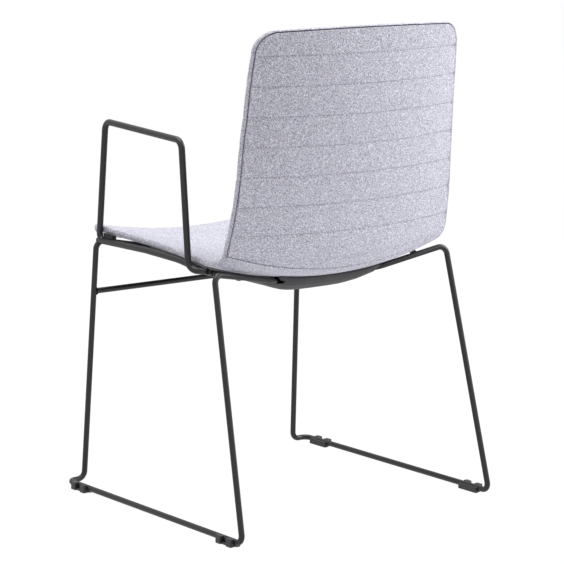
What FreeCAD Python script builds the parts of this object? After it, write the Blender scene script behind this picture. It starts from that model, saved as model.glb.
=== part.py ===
import FreeCAD, Part
import math
import os

# Breakout chair: an upholstered one-piece seat-and-back shell on a sled frame of bent round rod,
# with two rod armrest loops, a plastic pan under the seat and four clip-on floor glides.
# Millimetres. +Z is up, the sitter faces -Y, +X is the sitter's left, the floor is Z = 0.
# The origin is on the floor under the middle of the chair's bounding box.

os.makedirs("parts", exist_ok=True)
doc = FreeCAD.newDocument("breakout_chair")
Vec = FreeCAD.Vector

# Driving sizes
SIZES = [
    # Sled frame rod and its corners
    ("frame_rod", 10.0), ("glide_base", 3.5), ("rail_half_track", 270.0),
    ("rear_foot_y", 265.2), ("front_foot_half", 237.5), ("front_foot_y", -246.5),
    ("rear_top_half", 250.8), ("rear_top_y", 165.8), ("rear_top_z", 433.9),
    ("rear_knee_half", 114.0), ("rear_knee_y", 148.6), ("rear_knee_z", 407.4),
    ("rear_turn_half", 80.0), ("rear_turn_y", 114.0), ("rear_turn_z", 399.5),
    ("rear_flat_half", 45.0), ("rear_flat_y", 108.0), ("rear_flat_z", 395.5),
    ("front_top_half", 225.6), ("front_top_y", -214.6), ("front_top_z", 441.5),
    ("front_flat_half", 45.0), ("front_flat_z", 406.6),
    ("foot_bend", 12.5), ("jog_bend", 14.0), ("top_bend", 14.0), ("rail_bend", 24.0),
    ("brace_z", 350.0),
    # Armrest rod
    ("arm_rod", 11.0), ("arm_top_bend", 17.0), ("arm_foot_bend", 17.0), ("arm_front_bend", 13.0),
    # Plates that join rails and shell
    ("plate_thick", 3.0), ("plate_half", 75.0), ("plate_body", 30.0), ("plate_tab_half", 40.0),
    ("plate_gap", 0.6), ("screw_half", 60.0), ("pan_screw_half", 30.0),
    # Fasteners
    ("m6_shank", 5.9), ("m6_clear", 6.4), ("m6_head", 11.0), ("m6_head_high", 4.0),
    ("washer_outer", 14.0), ("washer_thick", 1.2), ("m6_reach", 7.4), ("m6_socket", 4.0),
    ("insert_outer", 9.0), ("insert_long", 7.0), ("boss_outer", 19.0),
    ("m4_shank", 3.9), ("m4_head", 7.6), ("m4_head_high", 2.6),
    # Glides and rail pads
    ("glide_long", 46.0), ("glide_half_wide", 8.0), ("glide_ledge", 11.0), ("glide_bar_high", 10.6),
    ("glide_sole_high", 4.6), ("glide_block_high", 14.0), ("glide_block_long", 13.0), ("glide_grip", 2.5),
    ("glide_pitch", 28.0), ("rod_fit", 0.05), ("front_glide_y", -203.0), ("rear_left_glide_y", 226.0),
    ("rear_right_glide_y", 217.0),
    ("pad_long", 26.0), ("pad_wide", 9.0), ("pad_high", 14.0), ("pad_half", 219.0), ("pad_top", 460.0),
    ("pad_y", -182.0),
]

sheet = doc.addObject("Spreadsheet::Sheet", "Sizes")
for row, (alias, value) in enumerate(SIZES, start=1):
    sheet.set("A%d" % row, alias.replace("_", " "))
    sheet.set("B%d" % row, str(value))
    sheet.setAlias("B%d" % row, alias)
doc.recompute()


def size(alias):
    """Value of one driving size, read back from the sheet."""
    return float(sheet.get(alias))


# Upholstered shell, measured along the centre line of its outer face (under the seat, up the back)
PROFILE_START = (-267.0, 415.5)
PROFILE_ANGLE = 38.0
PROFILE = [(44.0, -42.3), (325.8, 0.0), (60.3, 17.1), (84.9, 63.2), (92.3, 2.8), (150.0, 4.0),
           (128.0, 3.0)]
TOTAL = sum(length for length, turn in PROFILE)
HALF_WIDTH = [(0, 214.0), (60, 217.5), (120, 218.5), (200, 221.0), (300, 226.0), (370, 230.0),
              (430, 234.0), (486, 237.0), (519, 238.0), (546, 234.5), (595, 231.0), (644, 227.5),
              (693, 226.0), (742, 222.5), (795, 220.5), (840, 217.0), (TOTAL, 214.0)]
DISH = [(0, 6.0e-4), (100, 6.4e-4), (230, 7.2e-4), (354, 7.1e-4), (444, 6.4e-4), (519, 6.4e-4),
        (560, 6.6e-4), (600, 7.0e-4), (640, 7.8e-4), (690, 8.6e-4), (742, 9.1e-4), (797, 9.3e-4),
        (849, 9.1e-4), (TOTAL, 9.0e-4)]
DEPTH = [(0, 12.5), (60, 16.5), (120, 17.0), (420, 17.0), (560, 15.0), (840, 15.0), (TOTAL, 12.5)]
FRONT_CORNER, TOP_CORNER = 46.0, 38.0
FRONT_CROWN, TOP_CROWN = 14.0, 8.0
EDGE = 10.5
EDGE_BULGE = 1.8
STITCH_FIRST, STITCH_PITCH, STITCH_COUNT = 36.5, 51.7, 16
STITCH_DEPTH, STITCH_SPREAD = 1.3, 7.0
FRONT_SPLIT = 60.0
TOP_SPLIT = TOTAL - STITCH_FIRST - STITCH_PITCH / 2
END_ROUND = 6.0

# Layers through the shell, from the outer face inwards: middle and edge distances
REAR_SHEET = (0.0, 2.4, 0.0, 2.0)
CORE = (2.8, 7.6, 2.3, 5.1)
FOAM_START = (8.1, 5.6)
FRONT_SHEET = 2.0
LAYER_GAP = 0.3
WALL = 3.0

# Seam between back panel and lower panel: an arc across the back, lowest in the middle
SEAM_LOW_Z, SEAM_RADIUS, SEAM_GAP = 424.0, 720.0, 0.4
WINDOW_HALF, WINDOW_FRONT, WINDOW_REAR = 112.0, -223.0, 149.0

# Under-seat pan: station, bottom height in the middle, bottom height at the side, side half-width
PAN = [(-233.0, 410.0, 421.0, 100.0), (-227.0, 400.0, 415.0, 112.0), (-212.0, 394.5, 411.0, 116.0),
       (-177.0, 393.0, 410.0, 118.0), (-117.0, 390.5, 408.5, 119.0), (-37.0, 386.0, 404.0, 119.0),
       (43.0, 382.0, 400.0, 118.0), (83.0, 380.5, 399.5, 115.5), (101.0, 380.0, 398.0, 114.0),
       (118.0, 380.0, 396.5, 112.5), (132.0, 385.0, 397.5, 111.5), (146.0, 392.5, 401.0, 110.5),
       (155.0, 399.5, 407.5, 109.0), (161.0, 405.5, 413.0, 107.0)]
PAN_WALL, PAN_FLARE, PAN_CLEAR, PAN_FLATNESS = 2.5, 4.0, 0.8, 4.0
SLOT_SIDE, SLOT_UNDER, RAIL_CLEAR = 2.0, 1.0, 1.0


def along(table, s):
    """Straight-line reading of a table of (position, value) pairs."""
    last = table[0]
    for item in table:
        if s <= item[0]:
            span = item[0] - last[0]
            share = (s - last[0]) / span if span else 0.0
            return last[1] + (item[1] - last[1]) * share
        last = item
    return last[1]


def profile_at(s):
    """Point (y, z) and direction angle of the outer centre line at distance s."""
    y, z = PROFILE_START
    angle = math.radians(PROFILE_ANGLE)
    for length, turn_degrees in PROFILE:
        turn = math.radians(turn_degrees)
        step = min(s, length)
        if abs(turn) < 1e-9:
            y += step * math.cos(angle)
            z += step * math.sin(angle)
        else:
            bend = turn / length
            after = angle + bend * step
            y += (math.sin(after) - math.sin(angle)) / bend
            z += (math.cos(angle) - math.cos(after)) / bend
            angle = after
        if s <= length:
            return y, z, angle
        s -= length
    return y, z, angle


def half_width(s, inset):
    """Half-width of the shell outline at s, drawn in by inset, with bowed ends and round corners."""
    wide = along(HALF_WIDTH, s) - inset
    found = wide
    ends = ((s - inset, FRONT_CROWN, FRONT_CORNER), (TOTAL - inset - s, TOP_CROWN, TOP_CORNER))
    for away, crown, corner in ends:
        radius = corner - inset
        flat = wide - radius
        start = crown * (flat / wide) ** 2
        if away < start:
            found = min(found, wide * math.sqrt(max(away, 0.0) / crown))
        elif away < start + radius:
            found = min(found, flat + math.sqrt(radius ** 2 - (radius - away + start) ** 2))
    return found


def shell_point(s, x, off):
    """Point at s, sideways distance x and distance off above the dished outer face."""
    y, z, angle = profile_at(s)
    lift = along(DISH, s) * x * x + off
    return Vec(x, y - math.sin(angle) * lift, z + math.cos(angle) * lift)


def arc(a, b, c):
    """Arc edge through three points."""
    return Part.Arc(a, b, c).toShape()


def end_round(s):
    """How far the two faces come together near the ends, 0 to 1."""
    away = min(s, TOTAL - s)
    if away >= END_ROUND:
        return 0.0
    return 1.0 - math.sqrt(1.0 - (1.0 - away / END_ROUND) ** 2)


def stitch_rows():
    """Positions of the sewn cross lines, from the top of the back to the seat front."""
    rows = [TOTAL - STITCH_FIRST - STITCH_PITCH * i for i in range(STITCH_COUNT)]
    return sorted(s for s in rows if s > 2 * STITCH_SPREAD)


def end_stations(inset):
    """Section positions near both ends, denser towards the edge."""
    near = [away + inset for away in (0.5, 1.4, 3.0, 5.2, 8.0, 11.0, 15.0, 21.0, 30.0, 42.0)]
    return near + [TOTAL - away for away in near]


def stations(inset):
    """Section positions: dense at both ends, and four for each sewn channel."""
    rows = stitch_rows()
    fixed = rows + [FRONT_SPLIT, TOP_SPLIT]
    found = end_stations(inset)
    for i, s in enumerate(rows):
        found.extend([s - STITCH_SPREAD, s + STITCH_SPREAD])
        if i + 1 < len(rows):
            found.append((s + rows[i + 1]) / 2)
    kept = [s for s in found if min(abs(s - stop) for stop in fixed) > 4.0]
    for step in (2.5, 6.0):
        kept.extend([FRONT_SPLIT + step, TOP_SPLIT - step])
    return sorted(kept + fixed)


def plain_stations(inset):
    """Fewer section positions, for the layers that carry no sewn channels."""
    found = end_stations(inset) + [FRONT_SPLIT, TOP_SPLIT]
    s = FRONT_SPLIT + 30.0
    while s < TOP_SPLIT - 20.0:
        found.append(s)
        s += 42.0 if s < 340.0 else 14.0 if s < 640.0 else 21.0
    return sorted(found)


def groove(s):
    """Depth of the sewn channel at s, 0 between the lines and full on a line."""
    nearest = min(abs(s - row) for row in stitch_rows())
    if nearest < 0.01:
        return STITCH_DEPTH
    if nearest <= STITCH_SPREAD + 0.01:
        return 0.25 * STITCH_DEPTH
    return 0.0


def section(s, wide, outer_mid, inner_mid, outer_edge, inner_edge, bulge):
    """Closed cross-section of one layer: outer arc, side, inner arc, side."""
    left_out = shell_point(s, wide, outer_edge)
    mid_out = shell_point(s, 0.0, outer_mid)
    right_out = shell_point(s, -wide, outer_edge)
    left_in = shell_point(s, wide, inner_edge)
    mid_in = shell_point(s, 0.0, inner_mid)
    right_in = shell_point(s, -wide, inner_edge)
    half = (outer_edge + inner_edge) / 2
    left_side = shell_point(s, wide + bulge, half)
    right_side = shell_point(s, -wide - bulge, half)
    edges = [arc(left_out, mid_out, right_out), arc(right_out, right_side, right_in),
             arc(right_in, mid_in, left_in), arc(left_in, left_side, left_out)]
    return Part.Wire(edges)


def lofted(make_section, stops):
    """Solid through the sections: straight strips in both rounded ends, one smooth length between."""
    low, high = FRONT_SPLIT, TOP_SPLIT
    groups = [[s for s in stops if s <= low], [s for s in stops if low <= s <= high],
              [s for s in stops if s >= high]]
    parts = []
    for number, group in enumerate(groups):
        parts.append(Part.makeLoft([make_section(s) for s in group], True, number != 1))
    return parts[1].fuse([parts[0], parts[2]])


def envelope():
    """Whole padded form inside the cover, with the sewn channels on the sitter's side."""
    def cross(s):
        pinch = end_round(s)
        deep = groove(s)
        outer = 2.2 * pinch
        mid = along(DEPTH, s) - deep - 3.0 * pinch
        edge = EDGE - 0.3 * deep - 3.0 * pinch
        wide = max(half_width(s, EDGE_BULGE), 20.0)
        return section(s, wide, outer, mid, outer, edge, EDGE_BULGE)
    return lofted(cross, stations(0.0))


def cavity():
    """Space inside the cover, open towards the outer face."""
    def cross(s):
        deep = groove(s)
        mid = along(DEPTH, s) - deep - FRONT_SHEET
        edge = EDGE - 0.3 * deep - FRONT_SHEET
        wide = max(half_width(s, WALL), 20.0)
        return section(s, wide, -6.0, mid, -6.0, edge, 0.2)
    return lofted(cross, stations(WALL))


def layer(inset, outer_mid, inner_mid, outer_edge, inner_edge, channels):
    """One layer of the shell at fixed distances from the outer face, with or without channels."""
    def cross(s):
        sink = groove(s) if channels else 0.0
        wide = max(half_width(s, inset + 0.2), 18.0)
        return section(s, wide, outer_mid + sink * 0.9, inner_mid, outer_edge + sink * 0.5, inner_edge, 0.2)
    return lofted(cross, stations(inset) if channels else plain_stations(inset))


def station_at(x, y):
    """Distance along the profile of the outer face's point at (x, y) under the seat."""
    low, high = 30.0, 500.0
    for _ in range(50):
        mid = (low + high) / 2
        if shell_point(mid, x, 0.0).y < y:
            low = mid
        else:
            high = mid
    return low


def outer_face_z(x, y):
    """Height of the outer face under the seat at (x, y)."""
    return shell_point(station_at(x, y), x, 0.0).z


def bent_path(points, radii):
    """Wire of straight runs joined by arcs, one bend radius for each inner corner."""
    edges = []
    start = points[0]
    for corner, after, radius in zip(points[1:-1], points[2:], radii):
        back = (start - corner).normalize()
        on = (after - corner).normalize()
        half_angle = back.getAngle(on) / 2
        run = radius / math.tan(half_angle)
        first = corner + back * run
        last = corner + on * run
        middle_way = (back + on).normalize()
        middle = corner + middle_way * (radius / math.sin(half_angle) - radius)
        edges.append(Part.makeLine(start, first))
        edges.append(arc(first, middle, last))
        start = last
    edges.append(Part.makeLine(start, points[-1]))
    return Part.Wire(edges)


def rod(points, radii, diameter):
    """Solid bent rod along the path."""
    path = bent_path(points, radii)
    way = points[1] - points[0]
    ring = Part.Wire([Part.makeCircle(diameter / 2, points[0], way)])
    swept = path.makePipeShell([ring], True, True)
    return swept if swept.Solids else Part.Solid(swept)


def mirrored(shape):
    """The same shape on the sitter's right."""
    return shape.mirror(Vec(0, 0, 0), Vec(1, 0, 0))


def feature(label, shape):
    """Document object that holds a free-form shape."""
    item = doc.addObject("Part::Feature", label)
    item.Shape = shape
    item.Label = label
    return item


def primitive(kind, label, settings):
    """Part primitive with its sizes and place set by expressions."""
    item = doc.addObject(kind, label)
    item.Label = label
    for name, text in settings.items():
        item.setExpression(name, text)
    return item


def place(x, y, z):
    """Placement expressions for a primitive."""
    return {"Placement.Base.x": x, "Placement.Base.y": y, "Placement.Base.z": z}


def compound(label, items):
    """Group of separate solids that share one node."""
    group = doc.addObject("Part::Compound", label)
    group.Label = label
    group.Links = items
    return group


def cut(label, base, tool):
    """Base with the tool taken away."""
    item = doc.addObject("Part::Cut", label)
    item.Label = label
    item.Base = base
    item.Tool = tool
    return item


def fuse(label, items):
    """Items joined into one solid."""
    item = doc.addObject("Part::MultiFuse", label)
    item.Label = label
    item.Shapes = items
    return item


FOOT_Z = size("glide_base") + size("frame_rod") / 2


def sled_points():
    """Corners of the left half of the sled frame, from the rear middle round to the front middle."""
    rear_flat = Vec(size("rear_flat_half"), size("rear_flat_y"), size("rear_flat_z"))
    front_flat = Vec(size("front_flat_half"), size("front_top_y"), size("front_flat_z"))
    points = [Vec(0, rear_flat.y, rear_flat.z), rear_flat,
              Vec(size("rear_turn_half"), size("rear_turn_y"), size("rear_turn_z")),
              Vec(size("rear_knee_half"), size("rear_knee_y"), size("rear_knee_z")),
              Vec(size("rear_top_half"), size("rear_top_y"), size("rear_top_z")),
              Vec(size("rail_half_track"), size("rear_foot_y"), FOOT_Z),
              Vec(size("rail_half_track"), size("front_foot_y"), FOOT_Z),
              Vec(size("front_foot_half"), size("front_foot_y"), FOOT_Z),
              Vec(size("front_top_half"), size("front_top_y"), size("front_top_z")),
              front_flat, Vec(0, front_flat.y, front_flat.z)]
    foot, jog, top, rail = size("foot_bend"), size("jog_bend"), size("top_bend"), size("rail_bend")
    return points, [rail, rail, rail, top, foot, jog, jog, top, rail]


def front_leg_at(z):
    """Centre (x, y) of the left front leg at height z."""
    share = (size("front_top_z") - z) / (size("front_top_z") - FOOT_Z)
    x = size("front_top_half") + share * (size("front_foot_half") - size("front_top_half"))
    y = size("front_top_y") + share * (size("front_foot_y") - size("front_top_y"))
    return x, y


points, radii = sled_points()
sled_shape = rod(points, radii, size("frame_rod"))
sled_left = feature("sled_frame_left", sled_shape)
sled_right = feature("sled_frame_right", mirrored(sled_shape))

# Armrest loop: end against the rear cross rail, side rail, front post, rest, rear post, foot
ARM = [Vec(187.5, 155.5, 421.6), Vec(222.0, 106.0, 426.0), Vec(226.0, 34.0, 438.6), Vec(226.4, -64.0, 442.8),
       Vec(222.8, -209.4, 441.4), Vec(225.0, -182.4, 652.4), Vec(240.4, 62.8, 641.8),
       Vec(240.4, 80.6, 428.7), Vec(226.8, 114.4, 430.2)]
arm_radii = [90.0, 150.0, 150.0, size("arm_front_bend"), size("arm_top_bend"), size("arm_top_bend"),
             size("arm_foot_bend")]
arm_whole = rod(ARM, arm_radii, size("arm_rod"))
arm_solid = max(arm_whole.cut(sled_shape).Solids, key=lambda part: part.Volume)
arm_left = feature("arm_left", arm_solid)
arm_right = feature("arm_right", mirrored(arm_solid))

# Brace between the front legs
brace_x, brace_y = front_leg_at(size("brace_z"))
brace_bar = primitive("Part::Cylinder", "brace_bar", {
    "Radius": "Sizes.frame_rod / 2", "Height": "2 * %.4f" % brace_x, "Placement.Base.z": "Sizes.brace_z"})
brace_bar.Placement = FreeCAD.Placement(Vec(-brace_x, brace_y, size("brace_z")),
                                        FreeCAD.Rotation(Vec(0, 1, 0), 90))
legs = compound("legs_for_cuts", [sled_left, sled_right])
front_brace = cut("front_brace", brace_bar, legs)


collar_gap = size("frame_rod") / 2 - 0.6
collars = []
for side, name in ((1, "left"), (-1, "right")):
    collar = doc.addObject("Part::Cone", "brace_collar_" + name)
    collar.Radius1 = size("frame_rod") / 2 + 2.2
    collar.Radius2 = size("frame_rod") / 2 + 0.3
    collar.Height = 4.2
    start = Vec(side * (brace_x - collar_gap), brace_y, size("brace_z"))
    collar.Placement = FreeCAD.Placement(start, FreeCAD.Rotation(Vec(0, -side, 0), 90))
    collars.append(collar)
brace_and_legs = compound("brace_for_cuts", [sled_left, sled_right, front_brace])
brace_welds = cut("brace_welds", compound("brace_collars", collars), brace_and_legs)

# Weld beads of the armrest: place, middle, direction of its length, radius, length
BEADS = [("rear", Vec(190.4, 151.4, 421.8), Vec(34.5, -49.5, 4.4), 6.4, 6.0),
         ("foot", Vec(221.8, 112.1, 428.1), Vec(10.0, 4.7, 4.2), 5.0, 9.0),
         ("front", Vec(221.6, -210.4, 441.2), Vec(1, 0, 0), 5.0, 9.0)]
beads = []
for name, middle, way, radius, long in BEADS:
    bead = doc.addObject("Part::Cylinder", "bead_" + name)
    bead.Radius = radius
    bead.Height = long
    start = middle - way.normalize() * (long / 2)
    bead.Placement = FreeCAD.Placement(start, FreeCAD.Rotation(Vec(0, 0, 1), way))
    left = cut("bead_left_" + name, cut("bead_off_sled_" + name, bead, sled_left), arm_left)
    right = doc.addObject("Part::Mirroring", "bead_right_" + name)
    right.Source = left
    right.Normal = Vec(1, 0, 0)
    beads.extend([left, right])
arm_welds = compound("arm_welds", beads)


def mount_plate(label, rail_y, rail_z, side):
    """T-shaped plate: tab over the rail, wide body beside it on the given side, four holes."""
    body = doc.addObject("PartDesign::Body", label)
    body.Label = label
    sketch = body.newObject("Sketcher::SketchObject", label + "_outline")
    plane = [item for item in body.Origin.OriginFeatures if item.Role == "XY_Plane"][0]
    sketch.AttachmentSupport = [(plane, "")]
    sketch.MapMode = "FlatFace"
    sketch.setExpression("AttachmentOffset.Base.z", "Sizes.%s + Sizes.frame_rod / 2" % rail_z)
    half, tab = size("plate_half"), size("plate_tab_half")
    tab_end = size(rail_y) - side * (size("frame_rod") / 2)
    near = size(rail_y) + side * (size("frame_rod") / 2 + size("plate_gap"))
    far = near + side * size("plate_body")
    outline = [(-tab, tab_end), (tab, tab_end), (tab, near), (half, near), (half, far),
               (-half, far), (-half, near), (-tab, near)]
    count = len(outline)
    for i, (x, y) in enumerate(outline):
        nx, ny = outline[(i + 1) % count]
        sketch.addGeometry(Part.LineSegment(Vec(x, y, 0), Vec(nx, ny, 0)), False)
    middle = (near + far) / 2
    holes = [(size("screw_half"), size("m6_clear") / 2), (size("pan_screw_half"), size("m4_shank") / 2)]
    for x, radius in holes:
        for way in (1, -1):
            circle = Part.Circle(Vec(way * x, middle, 0), Vec(0, 0, 1), radius)
            sketch.addGeometry(circle, False)
    pad = body.newObject("PartDesign::Pad", label + "_pad")
    pad.Profile = sketch
    pad.setExpression("Length", "Sizes.plate_thick")
    return body, middle


rear_plate, rear_screw_y = mount_plate("rear_mount_plate", "rear_flat_y", "rear_flat_z", -1)
front_plate, front_screw_y = mount_plate("front_mount_plate", "front_top_y", "front_flat_z", 1)
# Rows of fasteners: name, height of the plate's underside as an expression, row position
ROWS = [("rear", "(Sizes.rear_flat_z + Sizes.frame_rod / 2)", rear_screw_y, "rear_flat_y", -1),
        ("front", "(Sizes.front_flat_z + Sizes.frame_rod / 2)", front_screw_y, "front_top_y", 1)]


# Weld runs under the plate tabs, along the rails
runs = []
for row, under, row_y, rail_y, side in ROWS:
    for way in (1, -1):
        run = primitive("Part::Box", "weld_run_%s_%d" % (row, way + 1), {
            "Length": "2 * Sizes.plate_tab_half - 20", "Width": "3.2", "Height": "3.4",
            "Placement.Base.x": "-Sizes.plate_tab_half + 10", "Placement.Base.z": under + " - 3.4"})
        run.Placement.Base.y = size(rail_y) + (1.6 if way > 0 else -1.6 - 3.2)
        runs.append(run)
plate_welds = cut("plate_welds", compound("weld_runs", runs), legs)

# Mounting hardware under the shell
washers, screws, inserts, pan_screws, bosses, bores = [], [], [], [], [], []
for row, under, row_y, rail_y, side in ROWS:
    top = under + " + Sizes.plate_thick"
    for way, name in ((1, "left"), (-1, "right")):
        tag = "%s_%s" % (row, name)
        x, y = "%d * Sizes.screw_half" % way, "%.4f" % row_y
        disc = primitive("Part::Cylinder", "washer_disc_" + tag, {
            "Radius": "Sizes.washer_outer / 2", "Height": "Sizes.washer_thick",
            **place(x, y, under + " - Sizes.washer_thick")})
        hole = primitive("Part::Cylinder", "washer_hole_" + tag, {
            "Radius": "Sizes.m6_clear / 2", "Height": "Sizes.washer_thick * 3",
            **place(x, y, under + " - Sizes.washer_thick * 2")})
        washers.append(cut("washer_" + tag, disc, hole))
        head_top = under + " - Sizes.washer_thick"
        head = primitive("Part::Cylinder", "screw_head_" + tag, {
            "Radius": "Sizes.m6_head / 2", "Height": "Sizes.m6_head_high",
            **place(x, y, head_top + " - Sizes.m6_head_high")})
        shank = primitive("Part::Cylinder", "screw_shank_" + tag, {
            "Radius": "Sizes.m6_shank / 2",
            "Height": "Sizes.washer_thick + Sizes.plate_thick + Sizes.m6_reach",
            **place(x, y, head_top)})
        socket = primitive("Part::Prism", "screw_socket_" + tag, {
            "Circumradius": "Sizes.m6_socket / sqrt(3)", "Height": "Sizes.m6_head_high - 1.6",
            **place(x, y, head_top + " - Sizes.m6_head_high")})
        screws.append(cut("screw_" + tag, fuse("screw_blank_" + tag, [head, shank]), socket))
        sleeve = primitive("Part::Cylinder", "insert_sleeve_" + tag, {
            "Radius": "Sizes.insert_outer / 2", "Height": "Sizes.insert_long", **place(x, y, top)})
        thread = primitive("Part::Cylinder", "insert_thread_" + tag, {
            "Radius": "Sizes.m6_shank / 2", "Height": "Sizes.insert_long * 2",
            **place(x, y, top + " - Sizes.insert_long / 2")})
        inserts.append(cut("insert_" + tag, sleeve, thread))
        boss_top = outer_face_z(size("screw_half"), row_y) + 5.5
        boss = primitive("Part::Cylinder", "boss_" + tag, {
            "Radius": "Sizes.boss_outer / 2", "Height": "%.4f - (%s)" % (boss_top, top),
            **place(x, y, top)})
        bosses.append(boss)
        bore = primitive("Part::Cylinder", "bore_" + tag, {
            "Radius": "Sizes.insert_outer / 2", "Height": "Sizes.insert_long + 1", **place(x, y, top + " - 1")})
        tip = primitive("Part::Cylinder", "bore_tip_" + tag, {
            "Radius": "Sizes.m6_clear / 2", "Height": "Sizes.m6_reach + 1", **place(x, y, top)})
        bores.append(fuse("bore_whole_" + tag, [bore, tip]))
mount_washers = compound("mount_washers", washers)
mount_screws = compound("mount_screws", screws)
shell_inserts = compound("shell_inserts", inserts)

# Structural shell with its four bosses
core = feature("shell_sheet", layer(WALL + LAYER_GAP, CORE[0], CORE[1], CORE[2], CORE[3], False))
shell_blank = fuse("shell_blank", [core] + bosses)
seat_shell = cut("seat_shell", shell_blank, compound("shell_bores", bores))


def foam_mid(s):
    return along(DEPTH, s) - groove(s) - FRONT_SHEET - LAYER_GAP


def foam_edge(s):
    return EDGE - 0.3 * groove(s) - FRONT_SHEET - LAYER_GAP


def foam_section(s):
    """Cross-section of the foam between shell and front sheet."""
    wide = max(half_width(s, WALL + LAYER_GAP + 0.2), 18.0)
    return section(s, wide, FOAM_START[0], foam_mid(s), FOAM_START[1], foam_edge(s), 0.2)


seat_foam = feature("seat_foam", lofted(foam_section, stations(WALL + LAYER_GAP)))

# Covers: the front cover wraps the edge like a tray; two panels close it behind and below
front_cover = feature("front_cover", envelope().cut(cavity()))
rear_sheet = layer(WALL + LAYER_GAP, REAR_SHEET[0], REAR_SHEET[1], REAR_SHEET[2], REAR_SHEET[3], True)
seam_centre = Vec(0, 110.0, SEAM_LOW_Z + SEAM_RADIUS)
above_seam = Part.makeCylinder(SEAM_RADIUS, 200.0, seam_centre, Vec(0, 1, 0))
seam_clear = Part.makeCylinder(SEAM_RADIUS + SEAM_GAP, 200.0, seam_centre, Vec(0, 1, 0))
back_cover = feature("back_cover", rear_sheet.common(above_seam))
window = Part.makeBox(2 * WINDOW_HALF, WINDOW_REAR - WINDOW_FRONT, 80.0,
                      Vec(-WINDOW_HALF, WINDOW_FRONT, 380.0))
lower_cover = feature("lower_cover", rear_sheet.cut(seam_clear).cut(window))


def pan_floor(y, low, side_low, half):
    """Edge across the pan's floor: nearly flat in the middle, rising towards both sides."""
    shares = (1.0, 0.85, 0.65, 0.4, 0.0, -0.4, -0.65, -0.85, -1.0)
    curve = Part.BSplineCurve()
    curve.interpolate([Vec(share * half, y, low + (side_low - low) * abs(share) ** PAN_FLATNESS)
                       for share in shares])
    return curve.toShape()


def pan_section(y, low, side_low, wide, inset, top_up):
    """Closed cross-section of the pan body at y; the top follows the seat's outer face."""
    top_wide = wide + PAN_FLARE - inset
    low_wide = wide - inset
    edge_z = outer_face_z(top_wide, y) - PAN_CLEAR + top_up
    middle_z = outer_face_z(0.0, y) - PAN_CLEAR + top_up
    side_z = side_low + inset
    round_x, round_z = low_wide + 0.55, side_z + 2.4
    corner_z = min(side_z + 5.2, edge_z - 0.8)
    left_top, right_top = Vec(top_wide, y, edge_z), Vec(-top_wide, y, edge_z)
    left_low, right_low = Vec(low_wide - 3.0, y, side_z), Vec(3.0 - low_wide, y, side_z)
    left_side, right_side = Vec(low_wide + 1.0, y, corner_z), Vec(-low_wide - 1.0, y, corner_z)
    left_round = Vec(round_x - 1.2, y, (side_z + corner_z) / 2 - 0.7)
    right_round = Vec(1.2 - round_x, y, (side_z + corner_z) / 2 - 0.7)
    edges = [pan_floor(y, low + inset, side_z, left_low.x), arc(right_low, right_round, right_side),
             Part.makeLine(right_side, right_top), arc(right_top, Vec(0, y, middle_z), left_top),
             Part.makeLine(left_top, left_side), arc(left_side, left_round, left_low)]
    return Part.Wire(edges)


pan_outer = Part.makeLoft([pan_section(y, low, side, wide, 0.0, 0.0) for y, low, side, wide in PAN],
                          True, True)
inner_rows = PAN[1:-1]
inner_wires = [pan_section(y, low + (1.2 if y > 113 else 0.0), side + (1.2 if y > 113 else 0.0), wide,
                           PAN_WALL, 14.0) for y, low, side, wide in inner_rows]
pan_inner = Part.makeLoft(inner_wires, True, True)
pan_dish = feature("pan_dish", pan_outer.cut(pan_inner))
pillars, pillar_bores, pan_screws = [], [], []
for row, under, row_y, rail_y, side in ROWS:
    floor = min(PAN, key=lambda item: abs(item[0] - row_y))[1]
    for way, name in ((1, "left"), (-1, "right")):
        tag = "%s_%s" % (row, name)
        x, y = "%d * Sizes.pan_screw_half" % way, "%.4f" % row_y
        seat_z = "%.4f" % (floor + 6.0)
        pillars.append(primitive("Part::Cylinder", "pillar_" + tag, {
            "Radius": "Sizes.m4_head / 2 + 2.2", "Height": "%s - %.4f" % (under, floor + 2.2),
            **place(x, y, "%.4f" % (floor + 2.2))}))
        pillar_bores.append(primitive("Part::Cylinder", "pillar_bore_" + tag, {
            "Radius": "Sizes.m4_shank / 2 + 0.3", "Height": "60", **place(x, y, "%.4f" % (floor - 4.0))}))
        pillar_bores.append(primitive("Part::Cylinder", "pillar_sink_" + tag, {
            "Radius": "Sizes.m4_head / 2 + 0.4", "Height": "10", **place(x, y, "%.4f" % (floor - 4.0))}))
        head = primitive("Part::Cylinder", "pan_screw_head_" + tag, {
            "Radius": "Sizes.m4_head / 2", "Height": "Sizes.m4_head_high",
            **place(x, y, seat_z + " - Sizes.m4_head_high")})
        shank = primitive("Part::Cylinder", "pan_screw_shank_" + tag, {
            "Radius": "Sizes.m4_shank / 2",
            "Height": "%s + Sizes.plate_thick - %s" % (under, seat_z), **place(x, y, seat_z)})
        pan_screws.append(fuse("pan_screw_" + tag, [head, shank]))
pan_screw_group = compound("pan_screws", pan_screws)

# Slots where the rear and front rails pass the pan's side walls
slots = []
for rail, knee, top in (("rear", Vec(size("rear_knee_half"), size("rear_knee_y"), size("rear_knee_z")),
                         Vec(size("rear_top_half"), size("rear_top_y"), size("rear_top_z"))),
                        ("front", Vec(size("front_flat_half"), size("front_top_y"), size("front_flat_z")),
                         Vec(size("front_top_half"), size("front_top_y"), size("front_top_z")))):
    wall = min(PAN, key=lambda item: abs(item[0] - knee.y))[3]
    share = (wall - knee.x) / (top.x - knee.x)
    at = knee + (top - knee) * share
    half = size("frame_rod") / 2 + SLOT_SIDE
    for way in (1, -1):
        box = Part.makeBox(34.0, 2 * half, 40.0, Vec(-17.0, -half, -half + SLOT_SIDE - SLOT_UNDER))
        box.translate(Vec(way * (at.x + 2.0), at.y, at.z))
        slots.append(box)
slot_cuts = feature("pan_slots", Part.makeCompound(slots))
pan_blank = fuse("pan_blank", [pan_dish] + pillars)
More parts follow.
